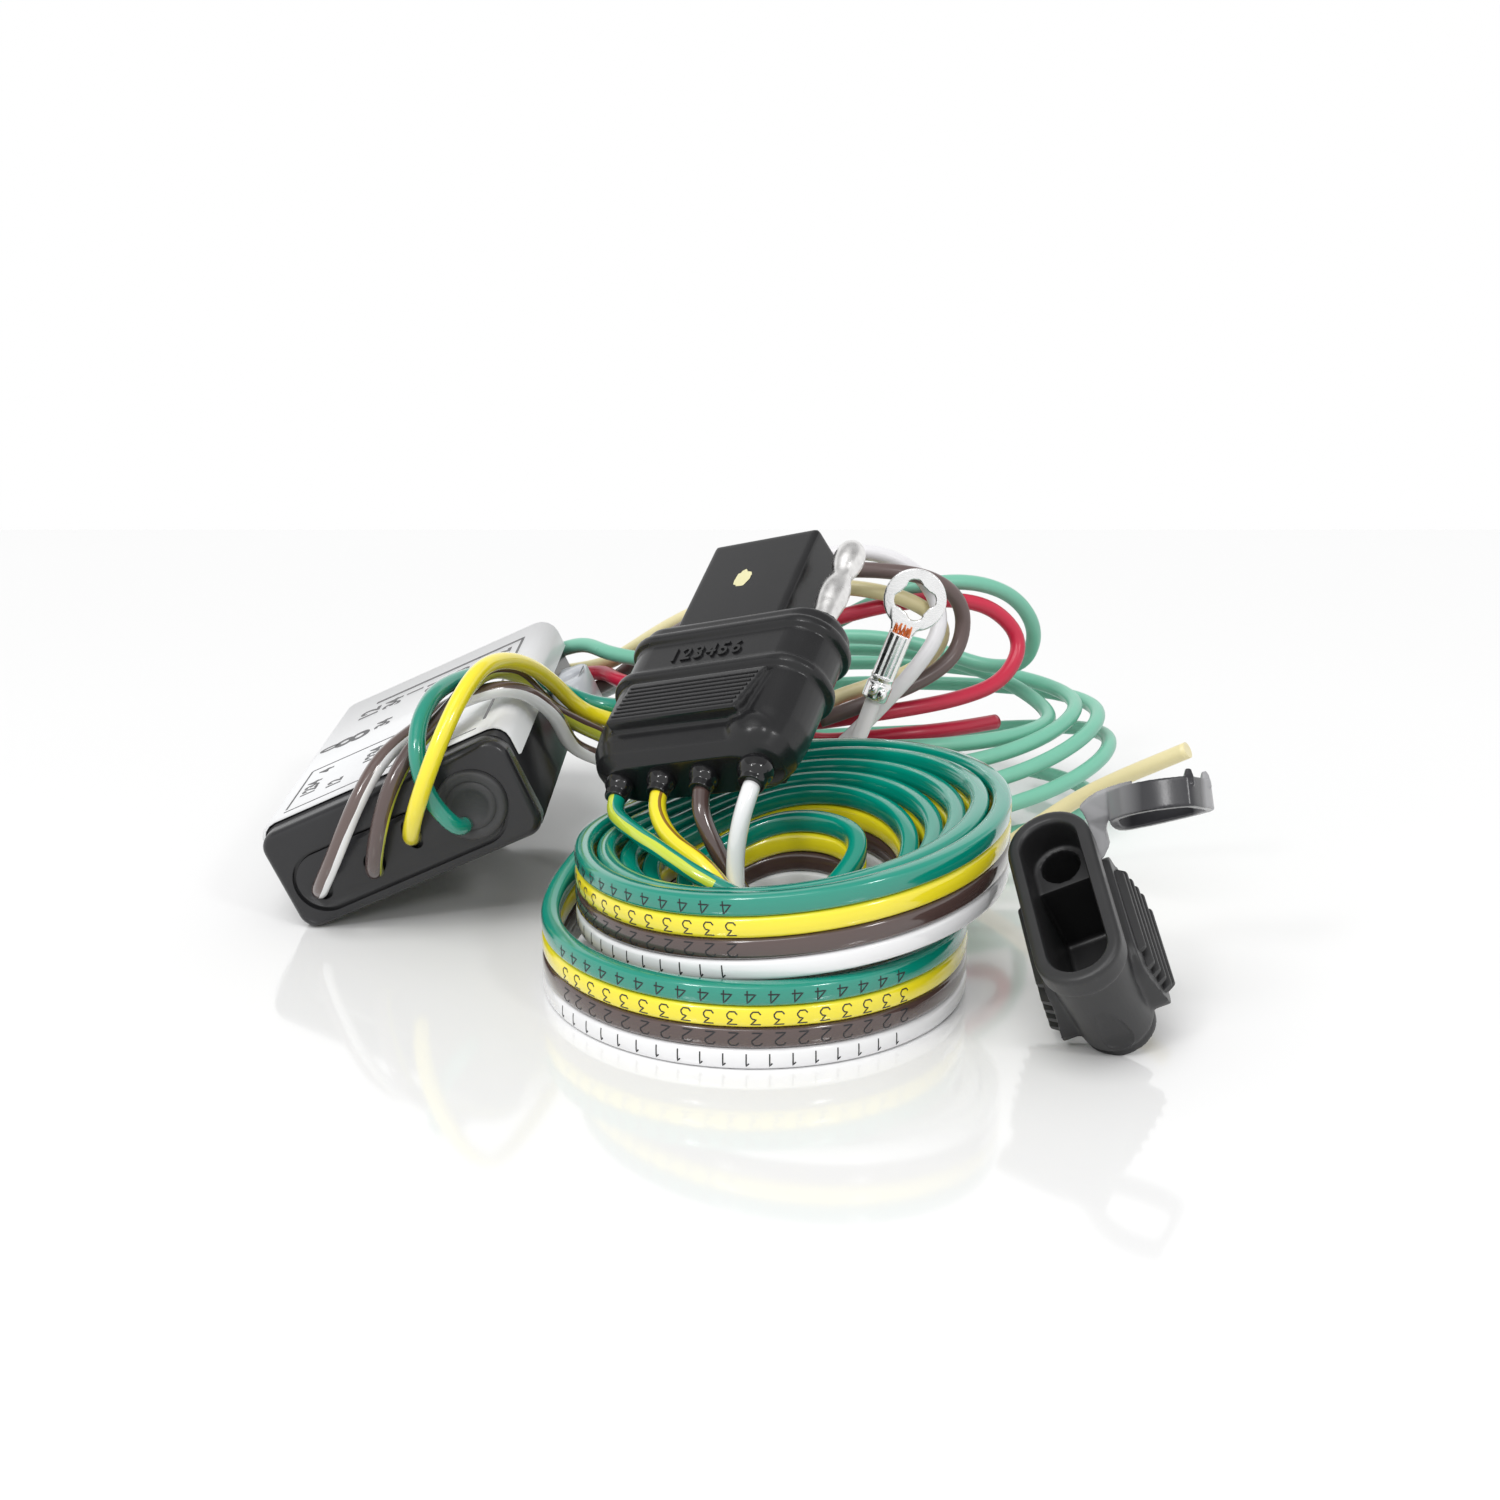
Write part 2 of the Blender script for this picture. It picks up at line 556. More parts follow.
# Turn by turn, how far out the loop lies on each side, and its height there.
HANK_RIGHT = ((45.0, 20.0), (48.9, 17.0), (53.2, 18.9), (57.0, 17.4), (58.8, 13.2), (56.5, 3.4))
HANK_FRONT = ((76.0, 17.5), (73.5, 14.5), (71.0, 11.2), (68.2, 8.0), (70.0, 3.4))
HANK_LEFT = ((-12.0, 18.0), (-15.5, 15.0), (-18.5, 11.5), (-20.5, 8.0), (-18.0, 3.6))
HANK_BACK = ((112.0, 26.0), (116.0, 22.8), (120.0, 19.2), (123.5, 14.5), (120.5, 6.0), (117.0, 2.2))
REAR_ROUTES = {
    "green": [
        (-40.2, 106.6, 21.0), (-40.1, 109.2, 21.0), (-32.9, 108.4, 24.2), (-27.4, 104.2, 26.6),
        (-23.3, 98.6, 26.6), (-16.9, 94.9, 26.4), (-10.1, 92.1, 26.7), (-3.3, 89.9, 28.0),
        (3.7, 88.5, 30.1), (10.4, 87.9, 32.9), (17.0, 88.1, 36.3), (23.7, 89.2, 39.1),
        (30.8, 90.5, 40.3), (37.7, 92.7, 39.3), (43.4, 95.6, 35.8), (46.5, 98.3, 29.8),
        (44.8, 101.6, 23.8), (39.2, 105.8, 22.4), (36.7, 107.0, 22.9),
    ],
    "red": [
        (-38.1, 106.7, 16.4), (-37.9, 109.2, 16.5), (-30.3, 108.0, 19.9), (-24.5, 103.7, 21.9),
        (-21.6, 97.1, 22.4), (-16.1, 91.8, 22.6), (-9.9, 88.0, 24.8), (-3.4, 85.7, 28.0),
        (3.2, 84.5, 31.6), (10.0, 84.1, 34.9), (17.3, 84.7, 37.0), (24.6, 86.7, 38.0),
        (31.8, 88.9, 37.8), (38.6, 91.5, 35.7), (43.3, 91.9, 30.2), (40.1, 87.7, 25.2),
        (33.9, 83.7, 23.5), (27.1, 80.3, 22.9), (19.9, 78.3, 22.3), (12.4, 78.7, 21.0),
        (5.8, 81.7, 19.0), (9.4, 82.9, 16.5), (16.8, 81.1, 17.3), (24.3, 80.9, 18.1),
        (31.4, 83.5, 18.1), (37.4, 88.1, 17.6), (39.5, 90.0, 17.4),
    ],
    "cream": [
        (-44.7, 106.8, 18.9), (-44.7, 109.5, 18.9), (-37.7, 111.6, 19.3), (-30.2, 110.6, 20.3),
        (-23.8, 107.3, 22.6), (-18.8, 103.2, 26.5), (-13.8, 99.3, 30.6), (-8.3, 95.7, 34.3),
        (-2.2, 92.5, 37.4), (4.1, 88.9, 39.6), (10.9, 85.8, 40.7), (18.2, 84.0, 40.6),
        (25.4, 84.0, 38.6), (30.7, 85.4, 33.7), (26.6, 83.0, 28.6), (19.8, 80.9, 26.3),
        (12.7, 79.2, 24.3), (6.4, 76.8, 21.0), (1.6, 73.2, 16.3), (-1.6, 68.9, 11.1), (1.1, 65.2, 5.9),
        (8.2, 64.2, 3.6), (15.6, 63.7, 2.2), (23.1, 63.1, 1.3), (30.6, 62.4, 2.3), (37.3, 61.9, 5.7),
        (43.2, 61.2, 10.3), (49.0, 59.7, 15.0), (54.7, 56.9, 19.1), (60.5, 54.0, 22.9),
        (62.7, 53.0, 24.3),
    ],
    "brown": [
        (-42.6, 106.8, 14.3), (-42.5, 109.4, 14.3), (-35.6, 110.6, 14.2), (-28.5, 108.0, 16.9),
        (-22.8, 104.8, 20.3), (-18.4, 100.8, 24.8), (-14.3, 96.3, 29.1), (-9.7, 92.0, 32.9),
        (-5.0, 87.8, 36.7), (0.4, 84.3, 40.3), (6.7, 81.7, 43.1), (13.8, 80.4, 44.5),
        (21.2, 80.5, 44.3), (28.3, 81.6, 42.7), (33.0, 83.8, 37.9), (32.3, 82.7, 31.1),
        (26.9, 79.3, 27.5), (20.3, 77.1, 25.2), (13.4, 75.9, 22.8), (10.8, 76.0, 21.9),
    ],
    "white": [
        (-48.4, 106.9, 15.0), (-48.4, 109.7, 15.0), (-42.2, 113.1, 14.5), (-34.8, 113.2, 14.3),
        (-27.7, 111.4, 15.4), (-22.1, 107.9, 18.8), (-17.5, 103.5, 22.8), (-13.0, 99.1, 26.7),
        (-8.5, 94.8, 30.8), (-4.1, 90.8, 35.4), (0.7, 87.7, 40.2), (6.7, 85.6, 44.1),
        (13.7, 84.6, 46.3), (21.0, 84.4, 45.9), (27.2, 84.4, 41.9), (29.5, 81.2, 35.9),
        (26.1, 77.3, 30.7), (21.2, 74.6, 25.8), (16.0, 73.6, 20.5), (11.2, 70.2, 16.4),
        (13.9, 67.9, 17.2), (16.6, 69.6, 21.4), (18.6, 70.9, 26.5), (19.6, 71.0, 29.1),
    ],
}
REAR_COLOURS = {
    "green": (0.19, 0.52, 0.38), "red": (0.58, 0.02, 0.06), "cream": (0.83, 0.74, 0.42),
    "brown": (0.13, 0.09, 0.085), "white": (0.8, 0.79, 0.81),
}


def from_table(table, index, column):
    """Value between the rows of a table, held at its ends."""
    index = min(max(index, 0.0), len(table) - 1.0)
    k = min(int(index), len(table) - 2)
    share = index - k
    return table[k][column] * (1 - share) + table[k + 1][column] * share


def hank_point(turn):
    """The loose green hank: back at 0, left at a quarter, front at a half, right at three quarters."""
    s = math.sin(-2 * math.pi * turn)
    c = math.cos(-2 * math.pi * turn)
    right, right_z = [from_table(HANK_RIGHT, turn + 0.25, k) for k in (0, 1)]
    front, front_z = [from_table(HANK_FRONT, turn - 0.5, k) for k in (0, 1)]
    left, left_z = [from_table(HANK_LEFT, turn - 0.25, k) for k in (0, 1)]
    back, back_z = [from_table(HANK_BACK, turn, k) for k in (0, 1)]
    x = (right + left) / 2 + (right - left) / 2 * s
    y = (front + back) / 2 + (back - front) / 2 * c
    z = max(0.0, s) ** 2 * right_z + max(0.0, -c) ** 2 * front_z
    z += max(0.0, -s) ** 2 * left_z + max(0.0, c) ** 2 * back_z
    return Vector((x, y, max(z, 1.3)))


REAR_NODES = {
    "green": ("feed_green", "hank_green"), "red": ("rear_red",), "cream": ("rear_cream",),
    "brown": ("rear_brown",), "white": ("rear_white",),
}
for colour, points in REAR_ROUTES.items():
    route = smooth_route(points)
    if colour == "green":
        loops = [hank_point(HANK_START + (HANK_END - HANK_START) * k / 720) for k in range(721)]
        route = evenly(route + loops[1:], SAMPLE_STEP)
    line = on_bench(relaxed(route, 10))
    insulation = finished("rear_insulation_" + colour, REAR_COLOURS[colour], tone=0.08, gloss=0.3,
                          gloss_spread=0.12, relief=0.06)
    piece = wire("rear_wire_" + colour, line, [FREE_SECTION] * len(line), insulation, REAR_NODES[colour])

# ---------------------------------------------------------------- converter box
# Two mouldings of black ABS: a case that is one long shell, and a plug that closes its front and carries
# the wires out through a pocket and a rubber grommet. The case lies tilted on the ear at its right side.
BOX_CENTRE = (-48.36, 74.68, 14.88)
BOX_X = (0.908, -0.030, 0.418)
BOX_Y = (0.026, 1.0, 0.016)
BOX_WIDTH = 38.5
BOX_THICK = 15.5
BOX_FRONT = -30.45


def clear_selection():
    """Leave edit mode and deselect everything."""
    if bpy.context.object and bpy.context.object.mode != "OBJECT":
        bpy.ops.object.mode_set(mode="OBJECT")
    bpy.ops.object.select_all(action="DESELECT")


def only(item):
    """Select one object and nothing else."""
    clear_selection()
    item.select_set(True)
    bpy.context.view_layer.objects.active = item


def pose(centre, x_axis, y_axis):
    """Placement of a piece from its centre in layout millimetres and two of its axes."""
    x = Vector(x_axis).normalized()
    z = x.cross(Vector(y_axis)).normalized()
    turn = Matrix((x, z.cross(x), z)).transposed().to_4x4()
    return Matrix.Translation((Vector(centre) - LAYOUT_ORIGIN) * MM) @ turn


def block(name, size, centre):
    """Box primitive in millimetres, left in object mode with its scale applied."""
    clear_selection()
    bpy.ops.mesh.primitive_cube_add(size=1.0, location=Vector(centre) * MM)
    item = bpy.context.object
    item.name = name
    item.scale = Vector(size) * MM
    bpy.ops.object.transform_apply(location=True, rotation=True, scale=True)
    return item


def rod(name, radius, depth, centre, axis="z", sides=48, tip_radius=None):
    """Cylinder or cone primitive in millimetres along one of the piece's axes."""
    clear_selection()
    turn = {"z": (0.0, 0.0, 0.0), "y": (-math.pi / 2, 0.0, 0.0), "x": (0.0, math.pi / 2, 0.0)}[axis]
    bpy.ops.mesh.primitive_cone_add(vertices=sides, radius1=radius * MM, depth=depth * MM,
                                    radius2=(radius if tip_radius is None else tip_radius) * MM,
                                    location=Vector(centre) * MM, rotation=turn)
    item = bpy.context.object
    item.name = name
    bpy.ops.object.transform_apply(location=True, rotation=True, scale=True)
    return item


def choose(item, kind, test):
    """Go into edit mode with only the vertices, edges or faces selected that pass a test."""
    only(item)
    bpy.ops.object.mode_set(mode="EDIT")
    bpy.ops.mesh.select_mode(type=kind)
    bpy.ops.mesh.select_all(action="DESELECT")
    mesh = bmesh.from_edit_mesh(item.data)
    pool = {"VERT": mesh.verts, "EDGE": mesh.edges, "FACE": mesh.faces}[kind]
    for part in pool:
        if test(part):
            part.select_set(True)
    mesh.select_flush_mode()
    bmesh.update_edit_mesh(item.data)


def done():
    """Leave edit mode."""
    bpy.ops.object.mode_set(mode="OBJECT")


def runs_along(edge, axis):
    """Whether an edge is parallel to one of the piece's axes."""
    way = (edge.verts[1].co - edge.verts[0].co).normalized()
    return abs(way["xyz".index(axis)]) > 0.999


def round_edges(item, test, radius, segments=6):
    """Bevel the edges that pass a test."""
    choose(item, "EDGE", test)
    bpy.ops.mesh.bevel(offset=radius * MM, segments=segments, profile=0.5, clamp_overlap=False)
    done()


def at(value, wanted):
    """Whether a length in metres is the wanted one in millimetres."""
    return abs(value - wanted * MM) < 0.02 * MM


def level(part, axis, wanted):
    """Whether all of a part's vertices lie at one height along an axis."""
    return all(at(v.co["xyz".index(axis)], wanted) for v in part.verts)


def step(item, kind, **settings):
    """Add a modifier and apply it."""
    only(item)
    made = item.modifiers.new(kind.lower(), kind)
    for key, value in settings.items():
        setattr(made, key, value)
    bpy.ops.object.modifier_apply(modifier=made.name)


def carve(item, tool):
    """Cut a tool's shape out of an object and throw the tool away."""
    step(item, "BOOLEAN", object=tool, operation="DIFFERENCE", solver="EXACT")
    bpy.data.objects.remove(tool, do_unlink=True)


def fuse(item, *others):
    """Join overlapping shells into one object."""
    only(item)
    for other in others:
        other.select_set(True)
    bpy.ops.object.join()


def fit_piece(item, place, material, body, slot, *nodes, angle=None):
    """Move a finished mesh to its place and hand the piece over to the frame."""
    only(item)
    item.data.transform(place)
    item.data.materials.clear()
    item.data.materials.append(material)
    if angle is None:
        bpy.ops.object.shade_smooth()
    else:
        bpy.ops.object.shade_smooth_by_angle(angle=math.radians(angle))
    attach(item, body)
    if nodes:
        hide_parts(*nodes)
    return item


def welded_copy(name, node_name, material, slot):
    """Smooth-shaded copy of a CAD solid whose shape is already right."""
    item = placed(name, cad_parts[node_name].data.copy())
    only(item)
    bpy.ops.object.mode_set(mode="EDIT")
    bpy.ops.mesh.select_all(action="SELECT")
    bpy.ops.mesh.remove_doubles(threshold=0.000002)
    done()
    return fit_piece(item, Matrix.Identity(4), material, BODY, slot, node_name, angle=40)


BOX_PLACE = pose(BOX_CENTRE, BOX_X, BOX_Y)
case_plastic = finished("case_plastic", (0.02, 0.02, 0.022), tone=0.15, gloss=0.3, gloss_spread=0.12,
                        relief=0.12)
welded_copy("case_body", "case_shell", case_plastic, "case_black")


def top_right(edge):
    """Whether an edge is near the closure's top right corner, which is rounder than the others."""
    return edge.verts[0].co.x > 0 and edge.verts[0].co.z > 0


plug_plastic = finished("end_plug_plastic", (0.018, 0.018, 0.02), tone=0.12, gloss=0.24, gloss_spread=0.14,
                        relief=0.1)
closure = block("end_closure", (BOX_WIDTH, 3.2, BOX_THICK), (0.0, BOX_FRONT + 1.6, 0.0))
round_edges(closure, lambda e: runs_along(e, "y") and not top_right(e), 2.6, 8)
round_edges(closure, lambda e: runs_along(e, "y") and at(e.verts[0].co.x, BOX_WIDTH / 2)
            and at(e.verts[0].co.z, BOX_THICK / 2), 3.4, 10)
round_edges(closure, lambda e: level(e, "y", BOX_FRONT), 1.15, 5)
# A shallow island stands in the pocket, so that only a fine parting groove shows round it.
pocket = block("pocket", (33.2, 1.5, 9.4), (-1.0, BOX_FRONT, -1.6))
round_edges(pocket, lambda e: runs_along(e, "y"), 4.65, 14)
carve(closure, pocket)
island = block("island", (32.3, 0.9, 8.5), (-1.0, BOX_FRONT + 0.65, -1.6))
round_edges(island, lambda e: runs_along(e, "y"), 4.2, 14)
round_edges(island, lambda e: level(e, "y", BOX_FRONT + 0.2), 0.15, 2)
for x, z, wide, tall in ((-13.94, -2.62, 2.9, 3.4), (-5.28, -2.14, 3.3, 3.4), (1.55, -0.5, 2.7, 4.6)):
    for plate in (closure, island):
        hole = rod("wire_hole", 0.5, 2.4, (0.0, 0.0, 0.0), "y", 32)
        hole.data.transform(Matrix.Diagonal((wide, 1.0, tall, 1.0)))
        hole.data.transform(Matrix.Translation(Vector((x, BOX_FRONT + 0.3, z)) * MM))
        carve(plate, hole)
fuse(closure, island)
fit_piece(closure, BOX_PLACE, plug_plastic, BODY, "plug_black", "end_plug", angle=35)

# The grommet is a turned rubber disc with a ring groove and a puckered middle.
grommet_rubber = finished("grommet_rubber", (0.045, 0.045, 0.047), tone=0.35, gloss=0.5, gloss_spread=0.16,
                          grain_scale=2500.0, relief=0.35)
disc = rod("grommet_disc", 5.1, 3.0, (11.35, BOX_FRONT + 0.5, 0.07), "y", 64)
face_level = BOX_FRONT - 1.0
round_edges(disc, lambda e: level(e, "y", face_level), 0.7, 5)
choose(disc, "FACE", lambda f: level(f, "y", face_level))
bpy.ops.mesh.inset(thickness=0.5 * MM)
bpy.ops.mesh.inset(thickness=0.35 * MM, depth=-0.22 * MM)
bpy.ops.mesh.inset(thickness=0.3 * MM, depth=0.22 * MM)
bpy.ops.mesh.inset(thickness=0.7 * MM)
bpy.ops.mesh.inset(thickness=0.35 * MM, depth=-0.35 * MM)
done()
fit_piece(disc, BOX_PLACE, grommet_rubber, BODY, "moulded_rubber", "wire_grommet", angle=50)

# The paper-backed foil label wraps over the top face. It has a thin ruled border, two ruled lines across it
# and plain numbers for the four circuits.
LABEL_TOP = BOX_THICK / 2 + 0.7
label_foil = finished("label_foil", (0.83, 0.835, 0.845), tone=0.05, gloss=0.3, gloss_spread=0.12,
                      cloud_scale=90.0, relief=0.06)
welded_copy("label", "label_plate", label_foil, "label_silver")


def rule(name, size, centre):
    """Thin printed line on the label."""
    return block(name, (*size, 0.04), (*centre, LABEL_TOP + 0.01))


rules = [
    rule("rule_back", (27.0, 1.0), (2.5, 22.6)), rule("rule_side", (0.5, 44.0), (16.0, 1.0)),
    rule("rule_left", (0.35, 17.0), (-15.6, -15.0)), rule("rule_cross", (20.0, 0.45), (-5.6, -6.5)),
    rule("rule_front", (31.0, 0.4), (-0.2, -24.6)), rule("rule_middle", (0.4, 18.0), (4.6, -15.5)),
]
fuse(rules[0], *rules[1:])
rules[0].name = "label_rules"
fit_piece(rules[0], BOX_PLACE, ink, BODY, "case_black", angle=30)


def number(text, size, **settings):
    """A plain number as a closed mesh that lies flat."""
    clear_selection()
    bpy.ops.object.text_add()
    item = bpy.context.object
    item.data.body = text
    item.data.size = size * MM
    item.data.align_x = "CENTER"
    for key, value in settings.items():
        setattr(item.data, key, value)
    bpy.ops.object.convert(target="MESH")
    return bpy.context.object


numbers = []
for text, size, x, y in (
        ("12", 4.8, -11.0, 17.2), ("34", 4.4, -6.8, 17.6), ("1", 4.0, -3.0, 18.8), ("21", 4.8, 1.2, 17.0),
        ("43", 4.2, 5.4, 17.8), ("2", 3.8, 9.0, 18.8), ("12", 4.8, 12.8, 17.4), ("8", 8.5, -11.0, 4.2),
        ("0", 4.6, -15.2, 4.4), ("34", 3.6, -6.0, 5.6), ("4", 3.4, -12.4, -9.6), ("1234", 3.2, -13.2, -16.6),
        ("1234", 3.4, -3.6, -12.6), ("12", 3.2, -8.6, -19.6)):
    item = number(text, size, extrude=0.02 * MM, offset=0.12 * MM, align_y="CENTER")
    spot = Matrix.Translation(Vector((x, y, LABEL_TOP + 0.01)) * MM)
    item.data.transform(spot @ Matrix.Rotation(math.pi / 2, 4, "Z"))
    numbers.append(item)
fuse(numbers[0], *numbers[1:])
numbers[0].name = "label_numbers"
fit_piece(numbers[0], BOX_PLACE, ink, BODY, "case_black", angle=30)

# The tie-down ear is pale grey plastic, and the rear gland is black rubber pressed into its slot.
ear_plastic = finished("ear_plastic", (0.5, 0.52, 0.55), tone=0.08, gloss=0.3, gloss_spread=0.1, relief=0.15)
welded_copy("tie_down_ear", "mounting_ear", ear_plastic, "ear_grey")
rubber = finished("moulded_rubber", (0.013, 0.013, 0.014), tone=0.2, gloss=0.24, gloss_spread=0.14,
                  cloud_scale=260.0, grain_scale=5200.0, relief=0.2)
rubber.node_tree.nodes["Principled BSDF"].inputs["Specular IOR Level"].default_value = 0.4
welded_copy("cable_gland", "rear_gland", rubber, "moulded_rubber")

# ---------------------------------------------------------------- electronics
# A green board with three switching transistors against an aluminium spreader and one tall capacitor. They
# are closed up inside the case.
INSIDE = {
    "circuit_board": ("board_lacquer", (0.03, 0.2, 0.08), 0.0, 0.4),
    "heat_spreader": ("spreader_metal", (0.75, 0.76, 0.78), 1.0, 0.35),
    "storage_capacitor": ("capacitor_sleeve", (0.05, 0.08, 0.25), 0.0, 0.35),
    "power_switch_1": ("transistor_epoxy", (0.03, 0.03, 0.03), 0.0, 0.5),
    "power_switch_2": ("transistor_epoxy", (0.03, 0.03, 0.03), 0.0, 0.5),
    "power_switch_3": ("transistor_epoxy", (0.03, 0.03, 0.03), 0.0, 0.5),
}
made_inside = {}
for name, (finish_name, colour, metal, gloss) in INSIDE.items():
    if finish_name not in made_inside:
        made_inside[finish_name] = finished(finish_name, colour, metal, tone=0.12, gloss=gloss, relief=0.2)
    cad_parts[name].data.materials.clear()
    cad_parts[name].data.materials.append(made_inside[finish_name])

# ---------------------------------------------------------------- flat plug
# One moulding of soft black PVC over the contacts: two beads run round it for grip, a ribbed pad stands on
# each broad face, and each wire enters through a small glossy boss. Brass sleeves line its three sockets.
PLUG_PLACE = pose((-8.46, 36.4, 26.09), (0.826, -0.501, 0.259), (0.465, 0.344, -0.816))
WAYS = (-10.68, -3.56, 3.56)
CONTACTS = (-8.55, -2.15, 4.25)
PIN_X = 11.87


def ball(name, radius, centre, stretch=(1.0, 1.0, 1.0)):
    """Round swelling in millimetres."""
    clear_selection()
    bpy.ops.mesh.primitive_uv_sphere_add(segments=32, ring_count=20, radius=radius * MM,
                                         location=Vector(centre) * MM, scale=stretch)
    item = bpy.context.object
    item.name = name
    bpy.ops.object.transform_apply(location=True, rotation=True, scale=True)
    return item


def mould(item, voxel, passes, factor=0.5):
    """Turn overlapping shells into one skin with the soft inner corners of a moulding."""
    step(item, "REMESH", mode="VOXEL", voxel_size=voxel * MM, adaptivity=0.0)
    step(item, "SMOOTH", factor=factor, iterations=passes)


def stadium(name, width, thick, low, high, corner):
    """Upright block with rounded long edges."""
    item = block(name, (width, thick, high - low), (0.0, 0.0, (low + high) / 2))
    round_edges(item, lambda e: runs_along(e, "z"), corner, 10)
    return item


body = stadium("plug_body", 33.2, 11.2, -0.9, 25.3, 5.3)
only(body)
bpy.ops.object.mode_set(mode="EDIT")
for height in (0.5, 2.6, 6.0):
    bpy.ops.mesh.select_all(action="SELECT")
    bpy.ops.mesh.bisect(plane_co=(0, 0, height * MM), plane_no=(0, 0, 1))
done()
for height, wide, deep in ((-0.9, 0.75, 0.6), (0.5, 0.9, 0.86), (2.6, 0.965, 0.965)):
    choose(body, "VERT", lambda v: at(v.co.z, height))
    bpy.ops.transform.resize(value=(wide, deep, 1.0), center_override=(0, 0, height * MM))
    done()
round_edges(body, lambda e: level(e, "z", 25.3), 0.9, 4)
shells = []
for height in (14.5, 22.0):
    bead = stadium("bead", 35.0, 13.0, height - 1.0, height + 1.0, 6.1)
    round_edges(bead, lambda e: level(e, "z", height - 1.0) or level(e, "z", height + 1.0), 0.8, 4)
    shells.append(bead)
# The pads are wedges, level with the body under the bead and proud of it at their lower edge.
for side in (-1, 1):
    pad = block("grip_pad", (23.0, 3.6, 8.6), (0.5, side * 5.2, 8.2))
    choose(pad, "VERT", lambda v: v.co.y * side > 6.0 * MM and v.co.z < 8.0 * MM)
    bpy.ops.transform.translate(value=(0.0, side * 0.75 * MM, 0.0))
    done()
    choose(pad, "VERT", lambda v: v.co.x > 10.0 * MM and v.co.z < 8.0 * MM)
    bpy.ops.transform.translate(value=(-1.5 * MM, 0.0, 0.0))
    done()
    choose(pad, "VERT", lambda v: v.co.y * side > 6.0 * MM and v.co.z > 8.0 * MM)
    bpy.ops.transform.translate(value=(0.0, -side * 0.35 * MM, 0.0))
    done()
    shells.append(pad)
shells.append(ball("swelling", 1.0, (10.9, -2.9, 3.2), (4.0, 3.25, 3.3)))
shells.append(rod("pin_collar", 3.7, 4.0, (PIN_X, 0.0, 24.6), "z", 48, 3.3))
sockets = block("socket_block", (18.5, 6.9, 22.6), (-2.15, 0.0, 33.3))
round_edges(sockets, lambda e: runs_along(e, "z"), 0.7, 4)
round_edges(sockets, lambda e: level(e, "z", 44.6), 0.45, 3)
for x in CONTACTS:
    carve(sockets, rod("bore", 2.3, 17.5, (x, 0.0, 37.85), "z", 40))
shells.append(sockets)
fuse(body, *shells)
mould(body, 0.28, 3)
ribs = []
for side in (-1, 1):
    for n in range(8):
        height = 5.0 + n * 0.88
        rib = block("pad_rib", (21.3 + 0.16 * (n - 7), 0.8, 0.34), (0.35 + 0.1 * (n - 7), 0.0, height))
        choose(rib, "EDGE", lambda e: runs_along(e, "x") and e.verts[0].co.y * side > 0)
        bpy.ops.mesh.bevel(offset=0.12 * MM, segments=2)
        done()
        rib.data.transform(Matrix.Translation((0, side * (7.53 - (height - 3.9) * 0.128) * MM, 0)))
        ribs.append(rib)
# Raised plain numbers stand in the band between the beads.
digits = number("123456", 3.4, extrude=0.35 * MM, bevel_depth=0.06 * MM, space_character=1.25)
upright = Matrix.Rotation(math.radians(90), 4, "X")
digits.data.transform(Matrix.Translation(Vector((-1.0, -5.5, 17.0)) * MM) @ upright)
ribs.append(digits)
fuse(body, *ribs)
fit_piece(body, PLUG_PLACE, rubber, BODY, "moulded_rubber", "connector_body", angle=50)

# The wires are sealed in with glossy beads of the same black.
seal_black = finished("seal_black", (0.01, 0.01, 0.011), tone=0.1, gloss=0.1, gloss_spread=0.04, relief=0.03)
seals = []
for x in WAYS + (PIN_X,):
    wide = 2.15 if x < PIN_X else 2.55
    seals.append(ball("wire_seal", wide, (x, -0.5, -1.15), (1.0, 1.0, 0.92)))
    seals.append(rod("seal_neck", wide * 0.72, 1.9, (x, -0.25, -2.6), "z", 40, wide * 0.86))
fuse(seals[0], *seals[1:])
mould(seals[0], 0.16, 3)
seals[0].name = "wire_seals"
fit_piece(seals[0], PLUG_PLACE, seal_black, BODY, "moulded_rubber")

# A dab of cream paint on the block shows which way round the plug goes.
dab = rod("paint_dab", 1.45, 0.05, (-3.0, -3.47, 35.9), "y", 14)
for k, vertex in enumerate(dab.data.vertices):
    spread = 1.0 + 0.16 * math.sin(k * 2.4) + 0.08 * math.sin(k * 5.1)
    vertex.co.x = -3.0 * MM + (vertex.co.x + 3.0 * MM) * spread * 0.92
    vertex.co.z = 35.9 * MM + (vertex.co.z - 35.9 * MM) * spread * 1.12
dab_paint = finished("dab_paint", (0.76, 0.72, 0.42), tone=0.15, gloss=0.5, relief=0.3)
fit_piece(dab, PLUG_PLACE, dab_paint, BODY, "wire_cream", angle=30)


def turned(name, profile, place, sides=48):
    """Piece turned on a lathe: (radius, height) pairs spun round the Z axis and closed at both ends."""
    data = bpy.data.meshes.new(name)
    points = [(r * MM, 0.0, z * MM) for r, z in profile]
    data.from_pydata(points, [(k, k + 1) for k in range(len(points) - 1)], [])
    item = placed(name, data)
    only(item)
    bpy.ops.object.mode_set(mode="EDIT")
    bpy.ops.mesh.select_all(action="SELECT")
    bpy.ops.mesh.spin(steps=sides, angle=2 * math.pi, center=(0, 0, 0), axis=(0, 0, 1))
    bpy.ops.mesh.select_all(action="SELECT")
    bpy.ops.mesh.remove_doubles(threshold=0.000004)
    bpy.ops.mesh.normals_make_consistent(inside=False)
    done()
    item.data.transform(place)
    return item


